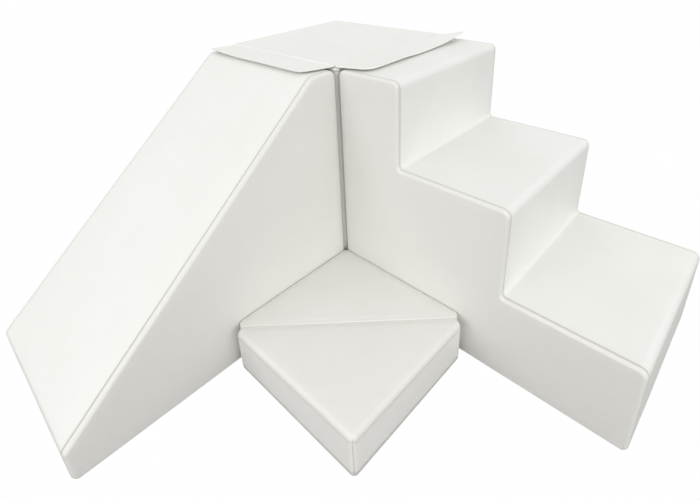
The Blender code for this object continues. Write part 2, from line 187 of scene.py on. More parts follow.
def addPoint(shape, axes, u, v, depth, way, lift=0, seamGap=farOff, along=0):
    # one point of a cover, moved out or in by the unevenness there, with the painted shade of a seam near it
    spot = spotAt(axes, u, v, depth)
    outward = (axes["u"] * way[0] + axes["v"] * way[1] + axes["d"] * way[2]).normalized()
    lift += swellAt(spot)
    pucker = noise.noise(Vector((along / relief["puckerSize"], 0.5, axes["seed"])))
    lift += relief["pucker"] * math.exp(-seamGap / relief["puckerReach"]) * pucker
    if spot.z < relief["hemReach"]:
        level = 1 - spot.z / relief["hemReach"]
        wave = waveAt(Vector((spot.x, spot.y, axes["seed"])) / relief["hemSize"])
        lift -= relief["hem"] * wave * level * level * (1 - abs(outward.z))
    lift = min(lift, roomFor(spot, outward))
    lift *= clamped((outward.z + relief["underside"]) / relief["underside"])  # undersides stay flat
    shape["points"].append(spot + outward * lift)
    shadeLowDown = 1 - spot.z / relief["seamShadeStrongBelow"]  # the painted seam shade is stronger low down
    strength = relief["seamShadeFaint"] + (1 - relief["seamShadeFaint"]) * clamped(shadeLowDown)
    near, far, width = axes["seamShares"]  # how strong the painted seam shade is at depth 0 and at the full width
    strength *= near + (far - near) * clamped(depth / width)
    shape["seam"].append(strength * math.exp(-seamGap / relief["seamShadeReach"]))
    return len(shape["points"]) - 1


# Rounded outlines in a block's own section or plan

tiny = 1e-12
weldReach = 1e-9


def pairs(items):
    # each item with the next one, all the way round
    return zip(items, items[1:] + items[:1])


def at(corners, i):
    return Vector(corners[i % len(corners)][:2])


def rectangle(lowU, lowV, highU, highV, radius):
    return [(lowU, lowV, radius), (highU, lowV, radius), (highU, highV, radius), (lowU, highV, radius)]


def edgeSpans(corners, step, marks=None):
    # shares along each straight run where points stand; marks adds places, measured from the corner
    tangents = []
    for i, (_, _, radius) in enumerate(corners):
        bend = (at(corners, i) - at(corners, i - 1)).angle(at(corners, i + 1) - at(corners, i))
        tangents.append(radius * math.tan(bend / 2))
    spans = []
    for i, start in enumerate(tangents):
        length = (at(corners, i + 1) - at(corners, i)).length
        run = length - start - tangents[(i + 1) % len(corners)]
        wanted = [(place - start) / run for place in (marks or {}).get(i, ())]
        parts = max(2, math.ceil(run / step))
        plain = [k / parts for k in range(1, parts)]
        clear = cover["markClear"] * step / run
        plain = [share for share in plain if all(abs(share - mark) > clear for mark in wanted)]
        spans.append(sorted(plain + [share for share in wanted if 0 < share < 1]))
    return spans


def ringAround(corners, insets, spans, creased=False):
    # (u, v, outward u, outward v) round the outline, and the index of each corner's middle;
    # creased puts more points beside each corner's middle
    count = len(corners)
    area = sum(corners[i - 1][0] * corners[i][1] - corners[i][0] * corners[i - 1][1] for i in range(count))
    side = math.copysign(1, area)
    lines = []
    for i, (u, v, _) in enumerate(corners):
        along = (at(corners, i + 1) - at(corners, i)).normalized()
        lines.append((Vector((u - along.y * side * insets[i], v + along.x * side * insets[i])), along))
    arcs = []
    for i, (_, _, radius) in enumerate(corners):
        (before, towards), (after, away) = lines[i - 1], lines[i]
        cross = towards.x * away.y - towards.y * away.x
        gap = after - before
        tip = before + towards * ((gap.x * away.y - gap.y * away.x) / cross)
        bend = math.atan2(cross, towards.dot(away))
        turn = math.copysign(1, bend)
        fullArc = radius * abs(bend)
        radius = max(radius - (insets[i - 1] + insets[i]) / 2 * turn * side, cover["leastRound"])
        tangent = radius * math.tan(abs(bend) / 2)
        centre = tip - towards * tangent + Vector((-towards.y, towards.x)) * turn * radius
        first = math.atan2(-towards.x * turn, towards.y * turn)
        steps = 2 * math.ceil(abs(bend) / cover["arcStep"] / 2)
        shares = [step / steps for step in range(steps + 1)]
        if creased:
            shares += [0.5 + sign * row / fullArc for row in cover["creaseRows"] for sign in (-1, 1)]
            shares.sort()
        arc = []
        for share in shares:
            angle = first + bend * share
            ray = Vector((math.cos(angle), math.sin(angle)))
            arc.append((*(centre + ray * radius), *(ray * turn * side)))
        arcs.append(arc)
    ring, middles = [], []
    for i, (arc, nextArc) in enumerate(pairs(arcs)):
        middles.append(len(ring) + len(arc) // 2)
        ring += arc
        along = lines[i][1]
        for share in spans[i]:
            spot = Vector(arc[-1][:2]).lerp(Vector(nextArc[0][:2]), share)
            ring.append((*spot, along.y * side, -along.x * side))
    return ring, middles


def plainRing(corners, spans, creased):
    # the outline itself, the distance along it at each point and once round, and at each corner's middle
    ring, middles = ringAround(corners, [0] * len(corners), spans, creased)
    lengths = [0]
    for here, there in pairs(ring):
        lengths.append(lengths[-1] + math.hypot(there[0] - here[0], there[1] - here[1]))
    return ring, lengths, [lengths[k] for k in middles]


def insideRing(points, ring):
    inside = np.zeros(len(points), bool)
    for (u0, v0), (u1, v1) in pairs(ring):
        if abs(v1 - v0) > tiny:
            crosses = (v0 > points[:, 1]) != (v1 > points[:, 1])
            inside ^= crosses & (points[:, 0] < (u1 - u0) * (points[:, 1] - v0) / (v1 - v0) + u0)
    return inside


def gapToRing(points, ring):
    nearest = np.full(len(points), np.inf)
    for start, end in pairs(ring):
        start, run = np.array(start), np.array(end) - np.array(start)
        share = np.clip((points - start) @ run / max(run @ run, tiny), 0, 1)
        nearest = np.minimum(nearest, np.linalg.norm(points - start - share[:, None] * run, axis=1))
    return nearest


def hexPoints(ring, step):
    # evenly spread points over the outline's box
    flat = np.array(ring)
    low, high = flat.min(0), flat.max(0)
    rise = step * math.sqrt(3) / 2
    rows = range(int((high[1] - low[1]) / rise) + 2)
    columns = range(int((high[0] - low[0]) / step) + 2)
    return [
        (low[0] + (column + row % 2 / 2) * step, low[1] + row * rise) for row in rows for column in columns
    ]


def leftEdges(ring, first, wanted):
    # the ring's edges, turned so that the face lies on their left
    turn = sum(here[0] * there[1] - here[1] * there[0] for here, there in pairs(ring))
    edges = list(pairs(list(range(first, first + len(ring)))))
    return edges if turn * wanted > 0 else [(there, here) for here, there in edges]


def fillFlat(ring, candidates, step, hole=None):
    # triangles over a flat outline: ring points first, then the hole's, then the inner points
    inner = np.array(candidates)
    clear = cover["borderClear"] * step
    inner = inner[insideRing(inner, ring) & (gapToRing(inner, ring) > clear)]
    if hole:
        inner = inner[~insideRing(inner, hole) & (gapToRing(inner, hole) > clear)]
    border = leftEdges(ring, 0, 1) + (leftEdges(hole, len(ring), -1) if hole else [])
    everything = [Vector(point) for point in ring + (hole or []) + inner.tolist()]
    _, _, triangles, origins, _, _ = delaunay_2d_cdt(everything, border, [], 0, weldReach)
    faces = [[origins[k][0] for k in triangle] for triangle in triangles]
    owners = {edge: index for index, face in enumerate(faces) for edge in pairs(face)}
    walls = set(border)
    front = [owners[edge] for edge in border]
    kept = set(front)
    while front:  # spread from the border over everything on its inner side
        for here, there in pairs(faces[front.pop()]):
            beyond = owners.get((there, here))
            if (here, there) not in walls and beyond is not None and beyond not in kept:
                kept.add(beyond)
                front.append(beyond)
    return inner.tolist(), [faces[index] for index in sorted(kept)]


def bridge(shape, low, high):
    # quads between two closed rows of points
    for (here, there), (above, beyond) in zip(pairs(low), pairs(high)):
        shape["faces"].append((here, there, beyond, above))


# The panels of a cover

def lipTurns():
    # angles of the rows on the roll into a seam
    return [math.pi / 2 * step / cover["lipSteps"] for step in range(1, cover["lipSteps"] + 1)]


def capLift(corners, u, v, crown):
    # crown of a flat face: full in the middle, nothing at its edges
    for i in range(len(corners)):
        offset = Vector((u, v)) - at(corners, i)
        run = at(corners, i + 1) - at(corners, i)
        share = clamped(offset.dot(run) / run.length_squared)
        crown *= fade((offset - run * share).length)
    return crown


def cupShape(axes, corners, rounds, seamDepth, crown, far=None, slot=None, seams=None):
    # end panel: a flat face, the rounded edge and the roll into the seam
    shape = newShape()
    spans = edgeSpans(corners, cover["edgeStep"])
    _, lengths, cornerPlaces = plainRing(corners, spans, bool(seams))
    lip = axes.get("lip", cover["lip"])
    reach = seamDepth - lip
    profile = []  # share of the rounding left, extra inset, depth, tilt from the face's own way
    for step in range(cover["rimSteps"] + 1):
        tilt = math.pi / 2 * step / cover["rimSteps"]
        profile.append((1 - math.sin(tilt), 0, reach * (1 - math.cos(tilt)), tilt))
    for turn in lipTurns():
        profile.append((0, lip * (1 - math.cos(turn)), reach + lip * math.sin(turn), math.pi / 2))

    def levelOf(depth):
        return depth if far is None else far - depth

    facing = -1 if far is None else 1
    rows = []
    for share, extra, depth, tilt in profile:
        ring, _ = ringAround(corners, [edge * share + extra for edge in rounds], spans, bool(seams))
        row = []
        for (u, v, outU, outV), along in zip(ring, lengths):
            way = (outU * math.sin(tilt), outV * math.sin(tilt), facing * math.cos(tilt))
            lift = capLift(corners, u, v, crown) * math.cos(tilt)
            gap = seamDepth - depth + max(rounds) * share
            if seams:
                cornerGap = min(abs(along - place) for place in cornerPlaces)
                lift -= seams["depth"] * math.sin(tilt) ** 2 * math.exp(-(cornerGap / seams["width"]) ** 2)
                gap = min(gap, cornerGap + seamDepth * (1 - math.sin(tilt)))
            row.append(addPoint(shape, axes, u, v, levelOf(depth), way, lift, gap, along))
        if rows:
            bridge(shape, rows[-1], row)
        else:
            border = [point[:2] for point in ring]
        rows.append(row)

    hole = []
    if slot:
        slotSpans = edgeSpans(slot, cover["edgeStep"])
        hole = [point[:2] for point in ringAround(slot, [-lip] * 4, slotSpans)[0]]
    inner, triangles = fillFlat(border, hexPoints(border, cover["fillStep"]), cover["fillStep"], hole)
    way = (0, 0, facing)
    index = list(rows[0])
    for u, v in hole + inner:
        index.append(addPoint(shape, axes, u, v, levelOf(0), way, capLift(corners, u, v, crown)))
    shape["faces"] += [tuple(index[k] for k in triangle) for triangle in triangles]
    if slot:
        rim = index[len(border):len(border) + len(hole)]
        for turn in lipTurns():  # the folded hem at the zip
            ring, _ = ringAround(slot, [lip * (math.sin(turn) - 1)] * 4, slotSpans)
            sunk = levelOf(lip * (1 - math.cos(turn)))
            inward = [
                addPoint(shape, axes, u, v, sunk, way, capLift(corners, u, v, crown)) for u, v, _, _ in ring
            ]
            bridge(shape, rim, inward)
            rim = inward
    return shape


def acrossSteps(start, end, lip):
    # (depth, inset, gap to the seam) from seam to seam: both lips, close rows beside them, even rows between
    rows = [(lip * (1 - math.sin(turn)), lip * (1 - math.cos(turn)), 0) for turn in lipTurns()[::-1]]
    rows += [(place, 0, place) for place in (lip, *cover["seamRows"])]
    length = end - start
    mirrored = [(length - place, inset, gap) for place, inset, gap in rows[::-1]]
    reach = rows[-1][0]
    between = length - 2 * reach
    parts = max(1, math.ceil(between / cover["fillStep"]))
    rows += [(reach + between * k / parts, 0, farOff) for k in range(1, parts)] + mirrored
    return [(start + place, inset, min(gap, place, length - place)) for place, inset, gap in rows]


def wallShape(axes, corners, start, end, crowns, closed=False, slot=None, seams=None):
    # the strip or band between two end panels, with a crown for each straight run of the outline;
    # slot is (edge, half length, lowest, highest)
    shape = newShape()
    marks = {}
    if slot:
        edge, half, lowest, highest = slot
        middle = (at(corners, edge + 1) - at(corners, edge)).length / 2
        marks[edge] = [middle + sign * (half + row) for sign in (-1, 1) for row in zipSlot["rows"]]
    spans = edgeSpans(corners, cover["edgeStep"], marks)
    ring, lengths, cornerPlaces = plainRing(corners, spans, bool(seams))
    if closed:
        cornerPlaces.append(lengths[-1] + cornerPlaces[0])
    steps = acrossSteps(start, end, axes.get("lip", cover["lip"]))
    if slot:
        clear = zipSlot["clear"]
        slotRows = [lowest - row for row in zipSlot["rows"]] + [highest + row for row in zipSlot["rows"]]
        steps = [
            step for step in steps if step[2] < clear or all(abs(step[0] - row) > clear for row in slotRows)
        ]
        steps = sorted(steps + [(row, 0, farOff) for row in slotRows])
        slotMiddle = (cornerPlaces[edge] + cornerPlaces[edge + 1]) / 2
    rows = []
    for depth, inset, seamGap in steps:
        row = []
        for (u, v, outU, outV), along in zip(ring, lengths):
            cornerGap = min(abs(along - place) for place in cornerPlaces)
            run = sum(along >= place for place in cornerPlaces[:len(corners)]) - 1
            lift = crowns[run] * fade(cornerGap) * fade(min(depth - start, end - depth))
            if slot:
                aside = max(0, abs(along - slotMiddle) - half)
                off = math.hypot(aside, max(0, lowest - depth, depth - highest))
                if off < cover["lip"]:
                    share = 1 - off / cover["lip"]
                    lift -= cover["lip"] * (1 - math.sqrt(1 - share * share))
            gap = seamGap
            if seams:
                lift -= seams["depth"] * math.exp(-(cornerGap / seams["width"]) ** 2)
                gap = min(gap, cornerGap)
            spot = (u - outU * inset, v - outV * inset)
            row.append(addPoint(shape, axes, *spot, depth, (outU, outV, 0), lift, gap, along))
        rows.append(row)
    for k, (low, high) in enumerate(zip(rows, rows[1:])):
        level = (steps[k][0] + steps[k + 1][0]) / 2
        for i in range(len(low) if closed else len(low) - 1):
            place = (lengths[i] + lengths[i + 1]) / 2
            if slot and abs(place - slotMiddle) < half and lowest < level < highest:
                continue
            j = (i + 1) % len(low)
            shape["faces"].append((low[i], low[j], high[j], high[i]))
    return shape


def slabShape(axes, corners, thickness, edge, step, lift=None, rows=(), bead=None, fill=None):
    # soft sheet with round edges: depth 0 is its underside; rows are extra lines across, in u,
    # and bead raises the upper face alone
    shape = newShape()
    marks = {}
    for i, (u, _, _) in enumerate(corners):
        change = abs(corners[(i + 1) % len(corners)][0] - u)
        if rows and change > step:
            scale = (at(corners, i + 1) - at(corners, i)).length / change
            marks[i] = [scale * abs(row - u) for row in rows]
    spans = edgeSpans(corners, step, marks)

    def put(u, v, level):
        rise = lift(u, v) if lift else 0
        if bead:
            rise += bead(u, v) * level / thickness
        shape["points"].append(spotAt(axes, u, v, level + rise))
        shape["seam"].append(0)
        return len(shape["points"]) - 1

    rings = []
    for k in range(cover["slabTurns"] + 1):
        angle = math.pi * k / cover["slabTurns"]
        ring, _ = ringAround(corners, [edge * (1 - math.sin(angle))] * len(corners), spans)
        if not rings:
            border = [point[:2] for point in ring]
        level = thickness / 2 * (1 + math.cos(angle))
        rings.append([put(u, v, level) for u, v, _, _ in ring])
    for low, high in zip(rings, rings[1:]):
        bridge(shape, low, high)
    clear = fill or step
    candidates = hexPoints(border, clear)
    if rows:
        lowV, highV = min(point[1] for point in border), max(point[1] for point in border)
        parts = int((highV - lowV) / cover["bendStep"])
        candidates = [point for point in candidates if point[0] > max(rows) + step / 2]
        candidates += [(row, lowV + (highV - lowV) * k / parts) for row in rows for k in range(1, parts)]
        clear = min(step, cover["bendClear"])
    inner, triangles = fillFlat(border, candidates, clear)
    for ringIndex, level in ((rings[0], thickness), (rings[-1], 0)):
        index = ringIndex + [put(u, v, level) for u, v in inner]
        shape["faces"] += [tuple(index[k] for k in triangle) for triangle in triangles]
    return shape


def addPiece(name, shape, finish, shell=None):
    # shell is the middle of the block whose skin this is; without it the shape is closed already
    mesh = bpy.data.meshes.new(name)
    body = bmesh.new()
    verts = [body.verts.new(point) for point in shape["points"]]
    for face in shape["faces"]:
        body.faces.new([verts[k] for k in face])
    bmesh.ops.delete(body, geom=[vert for vert in body.verts if not vert.link_faces], context="VERTS")
    bmesh.ops.recalc_face_normals(body, faces=body.faces)
    if shell is not None:
        outward = sum(
            face.normal.dot(face.calc_center_median() - shell) * face.calc_area() for face in body.faces
        )
        if outward < 0:
            bmesh.ops.reverse_faces(body, faces=body.faces)
    kept = [shape["seam"][k] for k, vert in enumerate(verts) if vert.is_valid]
    body.to_mesh(mesh)
    body.free()
    # the painted seam shade, one value a point, for the materials
    seam = mesh.attributes.new("seamShadeNear", "FLOAT", "POINT")
    seam.data.foreach_set("value", kept)
    mesh.shade_smooth()
    mesh.materials.append(finish["material"])
    piece = bpy.data.objects.new(name, mesh)
    bpy.context.scene.collection.objects.link(piece)
    if shell is not None:
        skin = piece.modifiers.new("leatherette", "SOLIDIFY")
        skin.thickness = cover["thickness"]
        skin.offset = -1
    return piece


def joinShapes(*shapes):
    whole = newShape()
    for shape in shapes:
        first = len(whole["points"])
        whole["points"] += shape["points"]
        whole["seam"] += shape["seam"]
        whole["faces"] += [tuple(first + k for k in face) for face in shape["faces"]]
    return whole


def rodShape(sections):
    # closed small rod through rings of points of the same count
    shape = newShape()
    size = len(sections[0])
    for section in sections:
        shape["points"] += section
        shape["seam"] += [0] * size
    rings = [list(range(k * size, (k + 1) * size)) for k in range(len(sections))]
    for low, high in zip(rings, rings[1:]):
        bridge(shape, low, high)
    shape["faces"] += [tuple(rings[0]), tuple(rings[-1])]
    return shape


# Finishes: shared effects are node groups, every shader stands in its own material

def wire(tree, source, target):
    if isinstance(source, (int, float, tuple)):
        target.default_value = source
    else:
        tree.links.new(source, target)


def addNode(tree, kind, sources=None, **values):
    # sources has a number, a colour or another node's output for each input, by name or place
    node = tree.nodes.new("ShaderNode" + kind)
    for key, value in values.items():
        setattr(node, key, value)
    for key, source in (sources or {}).items():
        wire(tree, source, node.inputs[key])
    return node


def sums(tree, operation, *values):
    return addNode(tree, "Math", dict(enumerate(values)), operation=operation).outputs[0]


def mixed(tree, factor, first, second, blend="MIX"):
    sources = {0: factor, 6: first, 7: second}
    return addNode(tree, "Mix", sources, data_type="RGBA", blend_type=blend).outputs[2]


def noiseValue(tree, place, scale, detail=2.0, rough=0.5):
    sources = {"Vector": place, "Scale": scale, "Detail": detail, "Roughness": rough}
    return addNode(tree, "TexNoise", sources).outputs["Fac"]


def cells(tree, place, scale, feature):
    return addNode(tree, "TexVoronoi", {"Vector": place, "Scale": scale}, feature=feature).outputs["Distance"]


def ranged(tree, *values):
    # value, the range it comes in, the range it goes out in
    return addNode(tree, "MapRange", dict(enumerate(values))).outputs[0]


def newGroup(name, inputs):
    # inputs has each input's first value; every group gives out a colour, a roughness and a height
    group = bpy.data.node_groups.new(name, "ShaderNodeTree")
    for title, value in inputs.items():
        kind = "Float" if isinstance(value, float) else "Color" if len(value) == 4 else "Vector"
        socket = group.interface.new_socket(title, in_out="INPUT", socket_type="NodeSocket" + kind)
        socket.default_value = value
    for title, kind in (("Colour", "Color"), ("Roughness", "Float"), ("Height", "Float")):
        group.interface.new_socket(title, in_out="OUTPUT", socket_type="NodeSocket" + kind)
    return group, group.nodes.new("NodeGroupInput").outputs


def closeGroup(group, colour, roughness, height):
    result = group.nodes.new("NodeGroupOutput").inputs
    for title, source in (("Colour", colour), ("Roughness", roughness), ("Height", height)):
        wire(group, source, result[title])
    return group


# How the pebbles, creases, pores, clouds and flecks of the coat, and the painted shade in the seams, are
# mixed
leatherMix = {
    "creaseScale": 0.45,  # as a share of the pebbles' scale, like the pores' one
    "creaseWidth": 0.12,
    "poreScale": 1.7,
    "poreDetail": 3.0,
    "pebbleHeight": -0.55,
    "poreHeight": 0.35,
    "cloudDetail": 4.0,
    "cloudRough": 0.55,
    "cloudRange": (0.35, 0.70),
    "fleckScale": 210.0,
    "fleckRange": (0.3, 0.7),
    "fleckTone": 0.985,
    # tone multiplied in along the seams: painted shade in the seam grooves
    "seamShadeTone": (0.60, 0.60, 0.575, 1.0),
    "duller": {"clouds": 0.07, "creases": -0.03, "seam": 0.12},  # added to the roughness
}


def makeLeatherGroup(mix):
    # pebbled grain, soft clouding of the coat, and painted shade that darkens the seams
    group, given = newGroup("leatherGrain", {
        "Place": (0.0, 0.0, 0.0), "Seam": 0.0, "Tone": (0.8, 0.8, 0.8, 1),
        "Cloud Tone": (0.75, 0.75, 0.75, 1), "Pebble Scale": 800.0, "Cloud Scale": 9.0, "Roughness": 0.5,
    })
    place, pebbleScale = given["Place"], given["Pebble Scale"]
    pebbles = cells(group, place, pebbleScale, "SMOOTH_F1")
    creaseScale = sums(group, "MULTIPLY", pebbleScale, mix["creaseScale"])
    creases = cells(group, place, creaseScale, "DISTANCE_TO_EDGE")
    creases = ranged(group, creases, 0.0, mix["creaseWidth"], 0.0, 1.0)
    poreScale = sums(group, "MULTIPLY", pebbleScale, mix["poreScale"])
    pores = noiseValue(group, place, poreScale, mix["poreDetail"])
    height = sums(group, "MULTIPLY_ADD", pebbles, mix["pebbleHeight"], creases)
    height = sums(group, "MULTIPLY_ADD", pores, mix["poreHeight"], height)
    clouds = noiseValue(group, place, given["Cloud Scale"], mix["cloudDetail"], mix["cloudRough"])
    clouds = ranged(group, clouds, *mix["cloudRange"], 0.0, 1.0)
    tone = mixed(group, clouds, given["Tone"], given["Cloud Tone"])
    flecks = noiseValue(group, place, mix["fleckScale"])
    flecks = ranged(group, flecks, *mix["fleckRange"], mix["fleckTone"], 1.0)
    tone = mixed(group, 1.0, tone, flecks, "MULTIPLY")
    # painted shade: the seam mask darkens the tone along the seams
    seamShadeTone = mixed(group, 1.0, tone, mix["seamShadeTone"], "MULTIPLY")
    tone = mixed(group, given["Seam"], tone, seamShadeTone)
    rough = given["Roughness"]
    for mask, title in ((clouds, "clouds"), (creases, "creases"), (given["Seam"], "seam")):
        rough = sums(group, "MULTIPLY_ADD", mask, mix["duller"][title], rough)
    return closeGroup(group, tone, rough, height)


# How the threads that run the three ways and the loose fibres are mixed
weaveMix = {
    "shifts": (0.0, 1.3, 2.1),
    "upright": 0.5,
    "fuzzScale": 1900.0,
    "fuzzDetail": 5.0,
    "fuzzRough": 0.7,
    "duller": 0.15,
}


def makeWeaveGroup(mix):
    # over-and-under threads with loose fibres, for tapes
    group, given = newGroup("wovenTape", {
        "Place": (0.0, 0.0, 0.0), "Tone": (0.8, 0.8, 0.8, 1), "Gap Tone": (0.5, 0.5, 0.5, 1),
        "Threads": 1500.0, "Fuzz": 0.3, "Roughness": 0.8,
    })
    split = addNode(group, "SeparateXYZ", {0: given["Place"]})
    waves = []
    for axis, shift in enumerate(mix["shifts"]):
        turned = sums(group, "MULTIPLY_ADD", split.outputs[axis], given["Threads"], shift)
        waves.append(sums(group, "SINE", turned))
    threads = sums(group, "MULTIPLY", waves[0], waves[1])
    threads = sums(group, "MULTIPLY_ADD", waves[2], mix["upright"], threads)
    threads = ranged(group, threads, -1.0, 1.0, 0.0, 1.0)
    fuzz = noiseValue(group, given["Place"], mix["fuzzScale"], mix["fuzzDetail"], mix["fuzzRough"])
    height = sums(group, "MULTIPLY_ADD", sums(group, "SUBTRACT", fuzz, threads), given["Fuzz"], threads)
    tone = mixed(group, height, given["Gap Tone"], given["Tone"])
    rough = sums(group, "MULTIPLY_ADD", fuzz, mix["duller"], given["Roughness"])
    return closeGroup(group, tone, rough, height)


# How the small cells and the large pores of the foam are mixed
cellMix = {
    "poreScale": 0.3,  # as a share of the cells' scale
    "poreHeight": 0.6,
    "wallHeight": 0.3,
    "poreRange": (0.1, 0.6),
    "largeRange": (0.0, 0.6),
    "roughRange": (0.86, 0.97),
}


def makeCellGroup(mix):
    # open cells of cut foam, large pores among small ones
    group, given = newGroup("foamCells", {
        "Place": (0.0, 0.0, 0.0), "Tone": (0.8, 0.7, 0.4, 1), "Pore Tone": (0.5, 0.4, 0.2, 1),
        "Cell Scale": 900.0,
    })
    small = cells(group, given["Place"], given["Cell Scale"], "DISTANCE_TO_EDGE")
    large = cells(group, given["Place"], sums(group, "MULTIPLY", given["Cell Scale"], mix["poreScale"]), "F1")
    walls = sums(group, "MINIMUM", small, mix["wallHeight"])
    height = sums(group, "MULTIPLY_ADD", large, mix["poreHeight"], walls)
    pores = ranged(group, height, *mix["poreRange"], 1.0, 0.0)
    tone = mixed(group, pores, given["Tone"], given["Pore Tone"])
    rough = ranged(group, large, *mix["largeRange"], *mix["roughRange"])
    return closeGroup(group, tone, rough, height)


def makeFinish(name, slot, group, values, bump, gloss):
    # one material: object coordinates and the painted seam shade mask go into the group, its results into the
    # shader;
    # bump is its strength and distance
    material = bpy.data.materials.new(name)
    material.use_nodes = True
    tree = material.node_tree
    place = addNode(tree, "TexCoord").outputs["Object"]
    effect = addNode(tree, "Group", {"Place": place, **values}, node_tree=group)
    if "Seam" in effect.inputs:
        # painted shade along the seams, read from the mesh
        seamShadeMask = addNode(tree, "Attribute", attribute_name="seamShadeNear").outputs["Fac"]
        wire(tree, seamShadeMask, effect.inputs["Seam"])
    strength, distance = bump
    grain = addNode(tree, "Bump", {
        "Strength": strength, "Distance": distance, "Height": effect.outputs["Height"],
    })
    sources = {
        "Base Color": effect.outputs["Colour"], "Roughness": effect.outputs["Roughness"],
        "Normal": grain.outputs["Normal"], **gloss,
    }
    for title, source in sources.items():
        wire(tree, source, tree.nodes["Principled BSDF"].inputs[title])
    return {"material": material, "slot": slot}


leather = makeLeatherGroup(leatherMix)
weave = makeWeaveGroup(weaveMix)
foamCells = makeCellGroup(cellMix)
leatherGloss = {"IOR": 1.46, "Specular IOR Level": 0.42, "Sheen Weight": 0.05, "Sheen Roughness": 0.5}


def leatherette(name, slot, tone, cloudTone, cloudScale, roughness, pebbleScale=720.0,
                bump=(0.28, 0.00022), gloss=leatherGloss):
    values = {
        "Tone": tone, "Cloud Tone": cloudTone, "Pebble Scale": pebbleScale, "Cloud Scale": cloudScale,
        "Roughness": roughness,
    }
    return makeFinish(name, slot, leather, values, bump, gloss)


def woven(name, slot, tone, gapTone, threads, fuzz, roughness, bump, gloss):
    values = {"Tone": tone, "Gap Tone": gapTone, "Threads": threads, "Fuzz": fuzz, "Roughness": roughness}
    return makeFinish(name, slot, weave, values, bump, gloss)


finishes = {
    "top": leatherette(
        "leatheretteTop", "leatherette_top", (0.845, 0.846, 0.815, 1), (0.825, 0.824, 0.79, 1), 8.0, 0.46),
    "padTop": leatherette(
        "leatherettePad", "leatherette_top", (0.805, 0.798, 0.766, 1), (0.785, 0.777, 0.742, 1), 8.0, 0.48),
    # the pads' bands: a lighter copy of the pad leatherette, painted light that brightens their sides
    "padSideLit": leatherette(
        "leatherettePadSideLit", "leatherette_side", (0.895, 0.885, 0.855, 1), (0.875, 0.864, 0.83, 1),
        8.0, 0.48),
    "side": leatherette(
        "leatheretteSide", "leatherette_side", (0.80, 0.787, 0.752, 1), (0.78, 0.766, 0.730, 1), 7.0, 0.50),
    "base": leatherette(
        "leatheretteBase", "leatherette_base", (0.70, 0.69, 0.66, 1), (0.66, 0.65, 0.62, 1), 10.0, 0.66,
        300.0, (0.6, 0.0005)),
    "foam": makeFinish("seatFoam", "foam", foamCells, {
        "Tone": (0.86, 0.80, 0.60, 1), "Pore Tone": (0.66, 0.58, 0.38, 1), "Cell Scale": 900.0,
    }, (0.7, 0.0006), {"Specular IOR Level": 0.1}),
    "hook": woven(
        "hookTape", "hook_and_loop", (0.80, 0.80, 0.78, 1), (0.55, 0.55, 0.53, 1), 3400.0, 0.25, 0.5,
        (0.9, 0.0006), {"Specular IOR Level": 0.4}),
    "loop": woven(
        "loopTape", "hook_and_loop", (0.82, 0.82, 0.80, 1), (0.60, 0.60, 0.58, 1), 2500.0, 0.85, 0.85,
        (0.9, 0.0005), {"Specular IOR Level": 0.15, "Sheen Weight": 0.3}),
    "tape": woven(
        "zipTape", "zip_tape", (0.80, 0.79, 0.77, 1), (0.55, 0.54, 0.52, 1), 5200.0, 0.2, 0.7,
        (0.6, 0.0003), {"Specular IOR Level": 0.3}),
    "thread": woven(
        "sewingThread", "zip_tape", (0.84, 0.83, 0.80, 1), (0.62, 0.61, 0.58, 1), 9000.0, 0.3, 0.55,
        (0.4, 0.0001), {"Specular IOR Level": 0.4}),
    "coil": leatherette(
        "zipCoil", "zip_tape", (0.66, 0.65, 0.63, 1), (0.60, 0.59, 0.57, 1), 90.0, 0.32,
        3200.0, (0.1, 0.00005), {"Specular IOR Level": 0.5}),
    "metal": leatherette(
        "zipMetal", "zip_metal", (0.62, 0.62, 0.60, 1), (0.52, 0.52, 0.50, 1), 160.0, 0.30,
        2400.0, (0.12, 0.00005), {"Metallic": 1.0}),
}
print("finishes made:", len(finishes))


# What the slide and the stairs have in common
block = {
    # painted seam shade on the outer side panel, as a share of its full strength
    "outerSeamShadeShare": 0.3,
    "floorRound": 0.011,
    "backRound": 0.012,
    "sideCrown": 0.0016,
    "zipHeight": 0.034,
}
# Slide: a wedge with a short flat top, one straight slope and a low upright nose
slide = {
    **block,
    "seamDepth": 0.0098,
    "edgeRound": 0.0070,
    "flat": 0.060,
    "nose": 0.064,
    "breakRound": 0.034,
    "noseRound": 0.013,
    "topCrown": 0.0006,
    "slopeCrown": 0.0030,
    "noseCrown": 0.0010,
    "zipMargin": 0.0725,
}
# Stairs: three levels, the cover's tread and riser strip in one piece
stairs = {
    **block,
    "seamDepth": 0.0080,
    "edgeRound": 0.0055,
    "levels": 3,
    "topTread": 0.143,
    "nosingRound": 0.014,
    "creaseRound": 0.0075,
    "topCrown": 0.0008,
    "riserCrown": 0.0006,
    "treadCrown": 0.0014,
    "zipMargin": 0.0675,
}
basePanel = {"round": 0.004, "edgeRound": 0.0008, "step": 0.02}


def slotCorners(middle, height, length):
    half, wide = length / 2, zipSlot["width"] / 2
    return rectangle(middle - half, height - wide, middle + half, height + wide, zipSlot["round"])


def dressCover(name, shape, finish, middle, node, body):
    panel = addPiece(name, shape, finishes[finish], middle)
    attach(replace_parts(panel, node), body)


